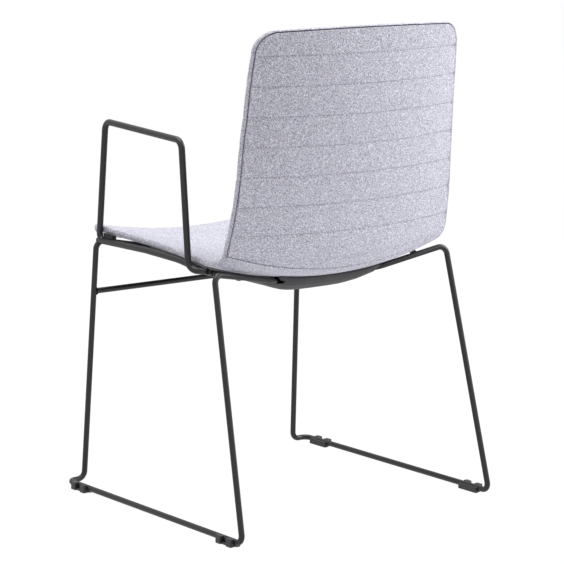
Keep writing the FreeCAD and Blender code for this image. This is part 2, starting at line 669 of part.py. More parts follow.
pan_slotted = cut("pan_slotted", pan_blank, compound("pan_cuts", pillar_bores + [slot_cuts]))
clear_rod = rod(points, radii, size("frame_rod") + 2 * RAIL_CLEAR)
rail_space = feature("rail_space", clear_rod.fuse(mirrored(clear_rod)))
under_pan = cut("under_pan", pan_slotted, rail_space)


def glide(label, side, y):
    """Clip-on floor glide: bar on the inner side, sole under the rod, two tall blocks on the outer side."""
    bar = primitive("Part::Box", label + "_bar", {
        "Length": "Sizes.glide_half_wide", "Width": "Sizes.glide_long", "Height": "Sizes.glide_bar_high",
        **place("%d * Sizes.rail_half_track - %s" % (side, "Sizes.glide_half_wide" if side > 0 else "0"),
                "%s - Sizes.glide_long / 2" % y, "0")})
    sole = primitive("Part::Box", label + "_sole", {
        "Length": "Sizes.glide_half_wide", "Width": "Sizes.glide_long - 6", "Height": "Sizes.glide_sole_high",
        **place("%d * Sizes.rail_half_track - %s" % (side, "0" if side > 0 else "Sizes.glide_half_wide"),
                "%s - Sizes.glide_long / 2 + 3" % y, "0")})
    pieces = [bar, sole]
    near = "Sizes.glide_grip" if side > 0 else "-Sizes.glide_ledge"
    for way, name in ((1, "rear"), (-1, "front")):
        pieces.append(primitive("Part::Box", "%s_block_%s" % (label, name), {
            "Length": "Sizes.glide_ledge - Sizes.glide_grip", "Width": "Sizes.glide_block_long",
            "Height": "Sizes.glide_block_high",
            **place("%d * Sizes.rail_half_track + %s" % (side, near),
                    "%s + %d * Sizes.glide_pitch / 2 - Sizes.glide_block_long / 2" % (y, way), "0")}))
    blank = fuse(label + "_blank", pieces)
    bore = primitive("Part::Cylinder", label + "_bore", {
        "Radius": "Sizes.frame_rod / 2 + Sizes.rod_fit", "Height": "Sizes.glide_long * 2",
        **place("%d * Sizes.rail_half_track" % side, "%s + Sizes.glide_long" % y,
                "Sizes.glide_base + Sizes.frame_rod / 2")})
    bore.Placement.Rotation = FreeCAD.Rotation(Vec(1, 0, 0), 90)
    return cut(label, blank, bore)


glides = []
for front, places in (("front", ("Sizes.front_glide_y", "Sizes.front_glide_y")),
                      ("rear", ("Sizes.rear_left_glide_y", "Sizes.rear_right_glide_y"))):
    for side, name, y in zip((1, -1), ("left", "right"), places):
        glides.append(glide("glide_%s_%s" % (front, name), side, y))


def seat_under_block():
    """Block that fills everything above the seat's outer face near the pads."""
    wires = []
    reach = size("pad_long") / 2 + 12.0
    first = station_at(size("pad_half"), size("pad_y") - reach)
    last = station_at(size("pad_half"), size("pad_y") + reach)
    half = size("pad_half") + 17.0
    for step in range(5):
        s = first + (last - first) * step / 4
        points = [shell_point(s, half, -LAYER_GAP), shell_point(s, 0.0, -LAYER_GAP),
                  shell_point(s, -half, -LAYER_GAP)]
        top_left = points[0] + Vec(0, 0, 60)
        top_right = points[2] + Vec(0, 0, 60)
        wires.append(Part.Wire([arc(*points), Part.makeLine(points[2], top_right),
                                Part.makeLine(top_right, top_left), Part.makeLine(top_left, points[0])]))
    return Part.makeLoft(wires, True, False)


seat_block = feature("seat_block", seat_under_block())


def rail_pad(label, side, arm):
    """Rubber pad between the arm's side rail and the seat's underside."""
    block = primitive("Part::Box", label + "_block", {
        "Length": "Sizes.pad_wide", "Width": "Sizes.pad_long", "Height": "Sizes.pad_high",
        **place("%d * Sizes.pad_half - Sizes.pad_wide / 2" % side, "Sizes.pad_y - Sizes.pad_long / 2",
                "Sizes.pad_top - Sizes.pad_high")})
    return cut(label, cut(label + "_on_rail", block, arm), seat_block)


rail_pad_left = rail_pad("rail_pad_left", 1, arm_left)
rail_pad_right = rail_pad("rail_pad_right", -1, arm_right)

doc.recompute()

NODES = [sled_left, sled_right, arm_left, arm_right, front_brace, brace_welds, arm_welds, plate_welds,
         rear_plate, front_plate, mount_washers, mount_screws, shell_inserts, seat_shell, seat_foam,
         front_cover, back_cover, lower_cover, under_pan, pan_screw_group,
         rail_pad_left, rail_pad_right] + glides

for item in doc.Objects:
    bad = [word for word in item.State if word in ("Invalid", "Error")]
    if bad:
        raise RuntimeError("%s is %s" % (item.Label, bad))
for item in NODES:
    shape = item.Shape
    if shape.isNull() or not shape.Solids or not shape.isValid():
        raise RuntimeError("%s has no valid solid" % item.Label)

for item in NODES:
    item.Shape.exportStep("parts/%s.step" % item.Label)
    box = item.Shape.optimalBoundingBox(False, False)
    print("%-20s solids %2d volume %10.0f  x %7.1f %7.1f  y %7.1f %7.1f  z %6.1f %6.1f" % (
        item.Label, len(item.Shape.Solids), item.Shape.Volume, box.XMin, box.XMax,
        box.YMin, box.YMax, box.ZMin, box.ZMax))
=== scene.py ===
# %% [markdown]
# # An upholstered breakout chair on a sled frame
# The chair is a bent shell covered in grey melange cloth, carried by round black rod. Its rods,
# plates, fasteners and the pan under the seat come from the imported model. This lesson adds what
# makes them look real: the sewn upholstery, the floor glides and a finish for every surface.

# %% Load the frame
import bmesh
import bpy
import math
from mathutils import Matrix, Vector, noise


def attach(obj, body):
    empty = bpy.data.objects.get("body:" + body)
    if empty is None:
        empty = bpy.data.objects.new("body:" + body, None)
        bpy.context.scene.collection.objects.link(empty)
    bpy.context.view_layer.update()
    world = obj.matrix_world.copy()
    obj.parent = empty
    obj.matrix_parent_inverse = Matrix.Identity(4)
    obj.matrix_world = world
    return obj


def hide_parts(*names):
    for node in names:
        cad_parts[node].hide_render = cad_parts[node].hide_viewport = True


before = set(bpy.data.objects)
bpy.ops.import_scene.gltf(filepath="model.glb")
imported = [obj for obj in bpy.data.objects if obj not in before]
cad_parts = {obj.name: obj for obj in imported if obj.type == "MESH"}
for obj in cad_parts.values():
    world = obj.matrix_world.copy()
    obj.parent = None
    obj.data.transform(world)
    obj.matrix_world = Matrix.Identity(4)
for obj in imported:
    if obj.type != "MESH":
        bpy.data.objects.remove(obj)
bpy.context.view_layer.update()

# %% [markdown]
# ## The line of the shell
# The real shell is one sheet, pressed so that it runs from the seat's front edge, back under the
# sitter and up to the top of the back. Its middle line is a chain of arcs. Each arc is a length in
# millimetres and a turn in degrees, so a point on the cloth is found from three numbers: how far
# along the line, how far sideways, and how far above the outer face. All the panels share this one
# rule, and therefore meet at their seams.

# %% The shell's line and width
MM = 0.001
LINE_START = (-267.0, 415.5)
LINE_ANGLE = 38.0
LINE = [(44.0, -42.3), (325.8, 0.0), (60.3, 17.1), (84.9, 63.2), (92.3, 2.8), (150.0, 4.0),
        (130.5, 3.0)]
TOTAL = sum(length for length, turn in LINE)
HALF_WIDTH = [(0, 214.0), (60, 217.5), (120, 218.5), (200, 221.0), (300, 226.0), (370, 230.0),
              (430, 234.0), (486, 237.0), (519, 238.0), (546, 234.5), (595, 231.0), (644, 227.5),
              (693, 226.0), (742, 222.5), (795, 220.5), (840, 217.0), (TOTAL, 214.0)]
DISH = [(0, 6.0e-4), (100, 6.4e-4), (230, 7.2e-4), (354, 7.1e-4), (444, 6.4e-4), (519, 6.4e-4),
        (560, 6.6e-4), (600, 7.0e-4), (640, 7.8e-4), (690, 8.6e-4), (742, 9.1e-4), (797, 9.3e-4),
        (849, 9.1e-4), (TOTAL, 9.0e-4)]
DEPTH = [(0, 12.5), (60, 16.5), (120, 17.0), (420, 17.0), (560, 15.0), (840, 15.0), (TOTAL, 12.5)]
EDGE_DEPTH = 10.5
FRONT_END = (46.0, 14.0)
TOP_END = (38.0, 8.0)


def along(table, s):
    """Straight-line reading of a table of (position, value) pairs."""
    last = table[0]
    for item in table:
        if s <= item[0]:
            span = item[0] - last[0]
            return last[1] + (item[1] - last[1]) * ((s - last[0]) / span if span else 0.0)
        last = item
    return last[1]


ROUNDING_STEPS = (-16.0, -8.0, 0.0, 8.0, 16.0)


def smooth_along(table, s):
    """The same reading with the table's corners rounded off."""
    return sum(along(table, s + step) for step in ROUNDING_STEPS) / len(ROUNDING_STEPS)


def line_at(s):
    """Point (y, z) and direction of the middle line at distance s."""
    y, z = LINE_START
    angle = math.radians(LINE_ANGLE)
    for length, turn_degrees in LINE:
        turn = math.radians(turn_degrees)
        step = min(s, length)
        if not turn:
            y += step * math.cos(angle)
            z += step * math.sin(angle)
        else:
            bend = turn / length
            after = angle + bend * step
            y += (math.sin(after) - math.sin(angle)) / bend
            z += (math.cos(angle) - math.cos(after)) / bend
            angle = after
        if s <= length:
            break
        s -= length
    return y, z, angle


LINE_STEP = 0.5
LINE_POINTS = [line_at(i * LINE_STEP) for i in range(int(TOTAL / LINE_STEP) + 3)]


def cloth_point(s, x, off):
    """Place in metres of the point at s along, x sideways and off above the outer face."""
    at = max(s, 0.0) / LINE_STEP
    i = min(int(at), len(LINE_POINTS) - 2)
    share = at - i
    y, z, angle = (a + (b - a) * share for a, b in zip(LINE_POINTS[i], LINE_POINTS[i + 1]))
    lift = smooth_along(DISH, s) * x * x + off
    return Vector((x, y - math.sin(angle) * lift, z + math.cos(angle) * lift)) * MM


def half_width(s, inset):
    """Half-width of the outline at s, drawn in by inset, with bowed ends and round corners."""
    wide = smooth_along(HALF_WIDTH, s) - inset
    found = wide
    for away, (corner, crown) in ((s - inset, FRONT_END), (TOTAL - inset - s, TOP_END)):
        radius = corner - inset
        flat = wide - radius
        start = crown * (flat / wide) ** 2
        if away < start:
            found = min(found, wide * math.sqrt(max(away, 0.0) / crown))
        elif away < start + radius:
            found = min(found, flat + math.sqrt(radius ** 2 - (radius - away + start) ** 2))
    return found


print("line length mm", round(TOTAL, 1), "top", [round(v, 3) for v in cloth_point(TOTAL, 0, 0)])

# %% [markdown]
# ## Sewn rows
# Rows of stitching cross the whole shell, one every 50 mm. Each row pulls the cloth down into a
# narrow channel and lets the padding swell between the rows. One function gives that rise and fall,
# so the sitter's side can be plump and the outer back nearly flat with the same rows. On the back,
# where the cloth is stretched over a hollow form, the rows sag a little towards both sides. No sewn
# cloth lies quite flat: it puckers close to a row and is slightly slack between. Two smooth random
# patterns are therefore added, one fine and one broad.

# %% Sewn rows
ROW_FIRST, ROW_PITCH, ROW_COUNT = 44.8, 50.0, 16
ROWS = sorted(TOTAL - ROW_FIRST - ROW_PITCH * i for i in range(ROW_COUNT))
ROW_SAG, SAG_FROM, SAG_FULL, SAG_WIDE = 4.0, 470.0, 560.0, 220.0
SWELL_POWER = 0.7
PUCKER, PUCKER_HIGH, PUCKER_REACH = (0.055, 0.03, 3.1), 0.28, 9.0
SLACK, SLACK_HIGH = (0.011, 0.013, 8.7), 0.25


def row_sag(s, x):
    """How far a row near s has dropped at sideways distance x."""
    share = min(1.0, max(0.0, (s - SAG_FROM) / (SAG_FULL - SAG_FROM)))
    return ROW_SAG * share * (x / SAG_WIDE) ** 2


def row_gap(s):
    """Distance to the nearest row, and the place between two rows from 0 to 1."""
    nearest = min(abs(s - row) for row in ROWS)
    place = ((s - ROWS[0]) / ROW_PITCH) % 1.0
    return nearest, place


def ripple(s, x, pattern):
    """Smooth random height. A pattern is its fineness sideways, its fineness along and a seed."""
    fine_x, fine_s, seed = pattern
    return noise.noise(Vector((x * fine_x, s * fine_s, seed)))


def quilt(s, x, channel, narrow, swell):
    """How far the cloth stands in (negative) or out (positive) near and between the rows."""
    away, place = row_gap(s + row_sag(s, x))
    dip = channel * math.exp(-away / narrow)
    rise = swell * (4.0 * place * (1.0 - place)) ** SWELL_POWER
    pucker = ripple(s, x, PUCKER) * math.exp(-away / PUCKER_REACH)
    return rise - dip + PUCKER_HIGH * pucker + SLACK_HIGH * ripple(s, x, SLACK)


print("rows", len(ROWS), "first and last", round(ROWS[0], 1), round(ROWS[-1], 1))

# %% [markdown]
# ## Panels of cloth
# A panel is cut to an outline, so its mesh should follow that outline too. A square grid is made
# first with one operator. Each of its corners is then put on the middle of a round corner of the
# outline, and the inside is blended from the four sides. The border is extruded ring by ring, down
# over the padded edge and into the seam, as the cloth is turned in when it is sewn.

# %% Panel outline
END_REACH = 20.0
END_STEPS, END_HALVINGS = 120, 30
SIDE_STEPS = 600


def spread(points, count):
    """count + 1 points at even distances along a chain of (s, x) points."""
    lengths = [0.0]
    for a, b in zip(points, points[1:]):
        lengths.append(lengths[-1] + math.dist(a, b))
    found, i = [], 0
    for k in range(count + 1):
        target = lengths[-1] * k / count
        while i < len(points) - 2 and lengths[i + 1] < target:
            i += 1
        span = lengths[i + 1] - lengths[i]
        share = (target - lengths[i]) / span if span else 0.0
        found.append(tuple(p + (q - p) * share for p, q in zip(points[i], points[i + 1])))
    return found


def corner_s(inset, end):
    """Position s of the middle of the round corners at the front or top end."""
    corner, crown = end
    wide = along(HALF_WIDTH, END_REACH if end is FRONT_END else TOTAL - END_REACH) - inset
    radius = corner - inset
    away = inset + crown * ((wide - radius) / wide) ** 2 + radius * (1.0 - math.sqrt(0.5))
    return away if end is FRONT_END else TOTAL - away


def end_side(inset, end, count):
    """The front or top side of the outline, from the sitter's right to the left."""
    s_corner = corner_s(inset, end)
    reach = half_width(s_corner, inset)
    edge = inset if end is FRONT_END else TOTAL - inset
    points = []
    for k in range(-END_STEPS, END_STEPS + 1):
        x = reach * k / END_STEPS
        low, high = edge, s_corner
        for _ in range(END_HALVINGS):
            mid = (low + high) / 2
            if half_width(mid, inset) < abs(x):
                low = mid
            else:
                high = mid
        points.append((high, x))
    return spread(points, count)


def long_side(inset, s_low, s_high, side, count):
    """The long side of the outline at the sitter's left (side 1) or right (side -1)."""
    points = []
    for k in range(SIDE_STEPS + 1):
        s = s_low + (s_high - s_low) * k / SIDE_STEPS
        points.append((s, side * half_width(s, inset)))
    return spread(points, count)


def blend_sides(low, high, right, left, u, v):
    """Point inside four sides, which are given as chains with one point per grid line."""
    i, j = round(u * (len(low) - 1)), round(v * (len(right) - 1))
    place = []
    for k in (0, 1):
        across = (1 - v) * low[i][k] + v * high[i][k] + (1 - u) * right[j][k] + u * left[j][k]
        corners = ((1 - u) * ((1 - v) * low[0][k] + v * high[0][k])
                   + u * ((1 - v) * low[-1][k] + v * high[-1][k]))
        place.append(across - corners)
    return place


# %% From mesh to object
def finish_mesh(name, bm):
    """Object at the origin with this mesh, riding on the chair."""
    mesh = bpy.data.meshes.new(name)
    bm.to_mesh(mesh)
    bm.free()
    piece = bpy.data.objects.new(name, mesh)
    bpy.context.scene.collection.objects.link(piece)
    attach(piece, "root")
    print(name, "faces", len(mesh.polygons))
    return piece


# %% Panel maker
CLOTH_THICK = 0.0011
CORNER_LIMIT = 0.6
TRIAL_X = 150.0


def outward(loop):
    """Direction out of a closed chain at each point.

    It is longer at sharp corners, so that the rings stay parallel.
    """
    found = []
    for before, here, after in zip(loop[-1:] + loop[:-1], loop, loop[1:] + loop[:1]):
        sides = []
        for a, b in ((before, here), (here, after)):
            run = (b[0] - a[0], b[1] - a[1])
            long = math.hypot(*run) or 1.0
            sides.append((run[1] / long, -run[0] / long))
        total = (sides[0][0] + sides[1][0], sides[0][1] + sides[1][1])
        size = math.hypot(*total) or 1.0
        half = max(size / 2, CORNER_LIMIT)
        found.append((total[0] / size / half, total[1] / size / half))
    return found


def make_panel(name, sides, rings, rise, sitter_side, base_inset, holes=None, stretch=None):
    """A sewn panel. rings are (inset, share of rise) steps from the flat part into the seam."""
    low, high, right, left = sides
    columns, rows = len(low) - 1, len(right) - 1
    bm = bmesh.new()
    bmesh.ops.create_grid(bm, x_segments=columns, y_segments=rows, size=0.5)
    uv = bm.loops.layers.uv.new("cloth")
    s_of, x_of = bm.verts.layers.float.new("s"), bm.verts.layers.float.new("x")
    order = {}
    for vert in bm.verts:
        u, v = vert.co.x + 0.5, vert.co.y + 0.5
        vert[s_of], vert[x_of] = blend_sides(low, high, right, left, u, v)
        order[(round(u * columns), round(v * rows))] = vert
        vert.co = cloth_point(vert[s_of], vert[x_of], rise(vert[s_of], vert[x_of], 1.0))
    border = ([(i, 0) for i in range(columns)] + [(columns, j) for j in range(rows)]
              + [(i, rows) for i in range(columns, 0, -1)] + [(0, j) for j in range(rows, 0, -1)])
    loop = [order[key] for key in border]
    base = [(vert[s_of], vert[x_of]) for vert in loop]
    out = outward(base)
    if sum(o[0] * (b[0] - base[0][0]) for o, b in zip(out, base)) < 0:
        out = [(-a, -b) for a, b in out]
    for inset, share in rings:
        edges = [bm.edges.get(pair) for pair in zip(loop, loop[1:] + loop[:1])]
        made = bmesh.ops.extrude_edge_only(bm, edges=edges)
        fresh = {v for v in made["geom"] if isinstance(v, bmesh.types.BMVert)}
        new_loop = []
        for vert in loop:
            others = (edge.other_vert(vert) for edge in vert.link_edges)
            new_loop.append(next(other for other in others if other in fresh))
        for vert, (s, x), (ds, dx) in zip(new_loop, base, out):
            step = (base_inset - inset) * (stretch(s, x) if stretch else 1.0)
            vert[s_of], vert[x_of] = s + ds * step, x + dx * step
            vert.co = cloth_point(vert[s_of], vert[x_of], rise(s, x, share))
        loop = new_loop
    for face in bm.faces:
        for corner in face.loops:
            corner[uv].uv = (corner.vert[x_of] * MM, corner.vert[s_of] * MM)
    if holes:
        gone = [f for f in bm.faces if holes(f.calc_center_median())]
        bmesh.ops.delete(bm, geom=gone, context="FACES")
    s_mid = (low[0][0] + high[0][0]) / 2
    spot = cloth_point(s_mid, TRIAL_X, 0.0)
    inwards = cloth_point(s_mid, TRIAL_X, 1.0) - spot
    bmesh.ops.recalc_face_normals(bm, faces=bm.faces)
    middle = min(bm.faces, key=lambda face: (face.calc_center_median() - spot).length)
    if (middle.normal.dot(inwards) > 0) != sitter_side:
        bmesh.ops.reverse_faces(bm, faces=bm.faces)
    for face in bm.faces:
        face.smooth = True
    panel = finish_mesh(name, bm)
    cloth = panel.modifiers.new("cloth", "SOLIDIFY")
    cloth.thickness = CLOTH_THICK
    cloth.offset = -1.0
    return panel


# %% [markdown]
# ## The front cover
# The sitter's side is one long quilted panel. It rolls over the padded edge and stops just behind
# it, where the seam shows as a dark line from the rear. The rings below follow that roll: out to
# the full width, down the side, and a last turn into the seam. The quilting fades towards the edge,
# where the padding is thinnest.

# %% Front cover
FRONT_QUILT = (2.3, 3.4, 1.1)
FADE_LEAST, FADE_WIDE = 0.35, 26.0


def front_rise(s, x, share):
    """Height of the sitter's side above the outer face, with its quilting."""
    wide = smooth_along(HALF_WIDTH, s)
    thick = smooth_along(DEPTH, s)
    level = thick + (EDGE_DEPTH - thick) * min(1.0, (x / wide) ** 2)
    inside = min(1.0, max(0.0, (wide - abs(x)) / FADE_WIDE))
    edge_fade = FADE_LEAST + (1.0 - FADE_LEAST) * inside
    return (level + quilt(s, x, *FRONT_QUILT) * edge_fade) * share


FRONT_BASE = 5.0
FRONT_RINGS = [(3.4, 0.975), (2.1, 0.915), (1.0, 0.81), (0.3, 0.66), (0.0, 0.47), (0.1, 0.29),
               (0.45, 0.15), (1.1, 0.05), (1.9, 0.03), (2.45, 0.09), (2.65, 0.24)]
COLUMNS, FRONT_LINES = 124, 336
front_s, top_s = corner_s(FRONT_BASE, FRONT_END), corner_s(FRONT_BASE, TOP_END)
front_sides = (end_side(FRONT_BASE, FRONT_END, COLUMNS), end_side(FRONT_BASE, TOP_END, COLUMNS),
               long_side(FRONT_BASE, front_s, top_s, -1, FRONT_LINES),
               long_side(FRONT_BASE, front_s, top_s, 1, FRONT_LINES))
front_upholstery = make_panel("front_upholstery", front_sides, FRONT_RINGS, front_rise, True,
                              FRONT_BASE)
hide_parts("front_cover", "seat_foam")

# %% [markdown]
# ## The back and lower panels
# From behind, two panels close the shell. They meet in a curved seam, lowest in the middle. The
# back panel has a small raised fold beside the edge seam and carries the same rows of stitching,
# nearly flat. The lower panel's fold fades below the curved seam, and its border then lies flush.

# %% Back and lower panels
SEAM_LOW, SEAM_RADIUS = 424.0, 720.0
PANEL_BASE = 6.9
PANEL_RINGS = [(6.1, -0.4), (5.4, -0.75), (4.8, -0.65), (4.3, -0.1), (4.0, 0.7), (3.8, 2.2)]
SEAM_GAP = 2.1
SEAM_REACH = 9.0
SEAM_FROM, SEAM_TO, SEAM_HALVINGS = 400.0, 640.0, 40
SEAM_TRIAL_X, SEAM_STEPS = 235.0, 90
BACK_QUILT, BACK_LIFT = (1.7, 2.2, 0.6), 0.15
LOWER_RIPPLE, LOWER_HIGH = (0.016, 0.02, 1.3), 0.25
FLUSH = -0.1
EDGE_STRETCH = 1.5


def seam_s(x):
    """Position of the curved seam at sideways distance x."""
    height = (SEAM_LOW + SEAM_RADIUS - math.sqrt(SEAM_RADIUS ** 2 - x * x)) * MM
    low, high = SEAM_FROM, SEAM_TO
    for _ in range(SEAM_HALVINGS):
        mid = (low + high) / 2
        if cloth_point(mid, x, 0.0).z < height:
            low = mid
        else:
            high = mid
    return low


def seam_side(inset, lift, count):
    """The panel's side along the curved seam, lift above it."""
    reach = half_width(seam_s(SEAM_TRIAL_X) + lift, inset)
    across = [reach * k / SEAM_STEPS for k in range(-SEAM_STEPS, SEAM_STEPS + 1)]
    return spread([(seam_s(x) + lift, x) for x in across], count)


def back_rise(s, x, share):
    """Height of the outer face: the rows dip inwards, the cloth between stands a little out."""
    if share != 1.0:
        return share
    return -quilt(s, x, *BACK_QUILT) + BACK_LIFT


def near_seam(s, x):
    """1 at the curved seam, 0 from SEAM_REACH below it."""
    return max(0.0, 1.0 - (seam_s(x) - s) / SEAM_REACH)


def lower_rise(s, x, share):
    """The lower panel is plain, stretched cloth. Its fold stands out along the curved seam only."""
    if share != 1.0:
        near = near_seam(s, x)
        return share * near + FLUSH * (1.0 - near)
    return LOWER_HIGH * ripple(s, x, LOWER_RIPPLE)


def lower_stretch(s, x):
    """Away from the curved seam the border reaches further, right up to the front cover."""
    return 1.0 + (EDGE_STRETCH - 1.0) * (1.0 - near_seam(s, x))


BACK_LINES, LOWER_LINES = 236, 150
seam_reach = PANEL_BASE - PANEL_RINGS[-1][0]
back_low = seam_side(PANEL_BASE, seam_reach + SEAM_GAP, COLUMNS)
top_s = corner_s(PANEL_BASE, TOP_END)
back_sides = (back_low, end_side(PANEL_BASE, TOP_END, COLUMNS),
              long_side(PANEL_BASE, back_low[0][0], top_s, -1, BACK_LINES),
              long_side(PANEL_BASE, back_low[0][0], top_s, 1, BACK_LINES))
back_upholstery = make_panel("back_upholstery", back_sides, PANEL_RINGS, back_rise, False,
                             PANEL_BASE)
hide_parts("back_cover")

lower_high = seam_side(PANEL_BASE, -seam_reach, COLUMNS)
front_s = corner_s(PANEL_BASE, FRONT_END)
lower_sides = (end_side(PANEL_BASE, FRONT_END, COLUMNS), lower_high,
               long_side(PANEL_BASE, front_s, lower_high[0][0], -1, LOWER_LINES),
               long_side(PANEL_BASE, front_s, lower_high[0][0], 1, LOWER_LINES))
WINDOW_HALF, WINDOW_FRONT, WINDOW_REAR, WINDOW_TOP = 0.112, -0.223, 0.149, 0.47


def in_window(point):
    """True inside the opening over the pan."""
    inside = abs(point.x) < WINDOW_HALF and WINDOW_FRONT < point.y < WINDOW_REAR
    return inside and point.z < WINDOW_TOP


lower_upholstery = make_panel("lower_upholstery", lower_sides, PANEL_RINGS, lower_rise, False,
                              PANEL_BASE, in_window, lower_stretch)
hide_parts("lower_cover")

# %% [markdown]
# ## Stitches
# The rows are sewn with a thread coloured darker than the cloth, which paints the shade of the
# narrow channel and the stitch holes. Every stitch is a short rounded bead laid in the channel,
# with a gap before the next.
# A ball with few faces is enough, because there are more than a thousand of them. One matrix lays
# it along the row and onto the surface.

# %% Stitches
STITCH_STEP, STITCH_LONG, THREAD_WIDE, THREAD_LIFT = 7.0, 2.3, 0.75, 0.5
FRONT_SEWN_INSET, BACK_SEWN_INSET, SEAM_CLEAR = 6.0, 7.0, 4.0
ASIDE, ABOVE = 1.0, 10.0


def sew_rows(name, rows, rise, side, inset):
    """Rows of stitches on a panel: side 1 lies on the sitter's face, side -1 on the outer face."""
    bm = bmesh.new()
    for row in rows:
        reach = half_width(row, inset)
        count = int(2 * reach / STITCH_STEP)
        for k in range(count):
            x = -reach + (k + 0.5) * 2 * reach / count
            ends = []
            for along_row in (x, x + ASIDE):
                s = row - row_sag(row, along_row)
                ends.append(cloth_point(s, along_row, rise(s, along_row, 1.0) + side * THREAD_LIFT))
            here, way = ends[0], (ends[1] - ends[0]).normalized()
            up = (cloth_point(row, x, ABOVE) - cloth_point(row, x, 0.0)).normalized() * side
            across = up.cross(way).normalized()
            turn = Matrix((way, across, way.cross(across))).transposed().to_4x4()
            shape = Matrix.Diagonal((STITCH_LONG * MM, THREAD_WIDE * MM, THREAD_WIDE * MM, 1.0))
            bmesh.ops.create_icosphere(bm, subdivisions=1, radius=1.0,
                                       matrix=Matrix.Translation(here) @ turn @ shape)
    for face in bm.faces:
        face.smooth = True
    piece = finish_mesh(name, bm)
    return piece


def seam_clear(row):
    """True where a row lies wholly above the curved seam."""
    return row > seam_s(half_width(row, PANEL_BASE)) + SEAM_CLEAR


back_rows = [row for row in ROWS if seam_clear(row)]
front_stitches = sew_rows("front_stitches", ROWS, front_rise, 1, FRONT_SEWN_INSET)
back_stitches = sew_rows("back_stitches", back_rows, back_rise, -1, BACK_SEWN_INSET)

# %% [markdown]
# ## Floor glides
# A glide is moulded in one piece and clipped onto the rod: a long bar on the inner side, a sole
# under the rod and two tall blocks on the outer side. Moulded edges are never sharp, so every edge
# is bevelled. Each box is given by its ends sideways, its ends along the rod and its height.

# %% Glides
TRACK = 270.0
ROUNDING, ROUNDING_FACES = 1.1, 3
GLIDE_BOXES = [((-8.0, 0.5), (-23.0, 23.0), 10.6), ((-0.5, 8.0), (-20.0, 20.0), 4.6),
               ((2.5, 11.0), (7.5, 20.5), 14.0), ((2.5, 11.0), (-20.5, -7.5), 14.0)]
GLIDE_PLACES = {"front_left": (1, -203.0), "front_right": (-1, -203.0),
                "rear_left": (1, 226.0), "rear_right": (-1, 217.0)}


def make_glide(name, side, y):
    """Bevelled moulding on the rod at y; side 1 is the sitter's left."""
    bm = bmesh.new()
    for (x_low, x_high), (y_low, y_high), high in GLIDE_BOXES:
        middle = Vector((side * (TRACK + (x_low + x_high) / 2), y + (y_low + y_high) / 2, high / 2))
        extent = Matrix.Diagonal((x_high - x_low, y_high - y_low, high, 1.0))
        made = bmesh.ops.create_cube(bm, size=1.0, matrix=Matrix.Translation(middle) @ extent)
        edges = {edge for vert in made["verts"] for edge in vert.link_edges}
        bmesh.ops.bevel(bm, geom=list(edges), offset=ROUNDING, segments=ROUNDING_FACES,
                        profile=0.5, affect="EDGES")
    bmesh.ops.scale(bm, vec=(MM, MM, MM), verts=bm.verts)
    bmesh.ops.recalc_face_normals(bm, faces=bm.faces)
    piece = finish_mesh(name, bm)
    return piece


glides = []
for place, (side, y) in GLIDE_PLACES.items():
    moulding = make_glide("moulded_glide_" + place, side, y)
    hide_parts("glide_" + place)
    glides.append(moulding)

# %% [markdown]
# ## Writing a material as sums
# A finish in Blender is a web of small nodes. Written out by hand it is long, so one small class
# wraps a node's output and lets it be added and multiplied as a number is. Everything else is made
# by one method that takes the node's type, its settings and its inputs. The surroundings are such a
# web too, so the same class makes them.

# %% Material helper
class Value:
    """The output of a node, on which sums and products work."""

    def __init__(self, finish, socket):
        self.finish = finish
        self.socket = socket

    def math(self, operation, *others):
        inputs = dict(enumerate((self, *others)))
        return self.finish.node("ShaderNodeMath", {"operation": operation}, inputs)

    def __add__(self, other):
        return self.math("ADD", other)

    def __mul__(self, other):
        return self.math("MULTIPLY", other)

    __radd__ = __add__
    __rmul__ = __mul__


class Finish:
    """A material in the making, or the surroundings."""

    def __init__(self, name, kinds=bpy.data.materials, shader="Principled BSDF"):
        self.made = kinds.new(name)
        self.made.use_nodes = True
        self.tree = self.made.node_tree
        self.shader = self.tree.nodes[shader]

    def feed(self, socket, value):
        if isinstance(value, Value):
            self.tree.links.new(value.socket, socket)
        else:
            socket.default_value = value

    def node(self, kind, settings=None, inputs=None, output=0):
        made = self.tree.nodes.new(kind)
        for key, value in (settings or {}).items():
            setattr(made, key, value)
        for key, value in (inputs or {}).items():
            self.feed(made.inputs[key], value)
        return Value(self, made.outputs[output])

    def place(self):
        """Object coordinates, in metres."""
        return self.node("ShaderNodeTexCoord", output="Object")

    def cloud(self, scale, detail, rough):
        """Soft random pattern, 0 to 1."""
        return self.node("ShaderNodeTexNoise", None, {
            "Vector": self.place(), "Scale": scale, "Detail": detail, "Roughness": rough})

    def band(self, value, low, high, out_low=0.0, out_high=1.0):
        """Smooth step of value from low to high."""
        return self.node("ShaderNodeMapRange", {"interpolation_type": "SMOOTHSTEP"}, {
            "Value": value, "From Min": low, "From Max": high,
            "To Min": out_low, "To Max": out_high})

    def mix(self, share, first, second):
        """Colour between two colours."""
        return self.node("ShaderNodeMix", {"data_type": "RGBA"}, {0: share, 6: first, 7: second}, 2)

    def bump(self, height, distance):
        """Surface relief from a height, in metres, at full strength."""
        return self.node("ShaderNodeBump", None, {"Height": height, "Distance": distance,
                                                   "Strength": 1.0})

    def set(self, **values):
        """Inputs of the main shader, with underscores for spaces."""
        for key, value in values.items():
            self.feed(self.shader.inputs[key.replace("_", " ")], value)
        return self.made


def tone(red, green, blue):
    """Linear colour from the 0 to 255 values that a screen shows."""
    def linear(v):
        v /= 255.0
        return v / 12.92 if v <= 0.04045 else ((v + 0.055) / 1.055) ** 2.4
    return (linear(red), linear(green), linear(blue), 1.0)


# %% [markdown]
# ## Melange cloth
# The cloth is spun from fibres of several greys, so every yarn changes colour along its length.
# From near, a plain weave shows. From a step away only a lively grain is left. Two noises give the
# grain and a third, much coarser, a faint cloudiness. The weave is made from the panel's own map,
# because it has to run with the cloth. Each noise is given by its scale, its detail and its
# roughness.

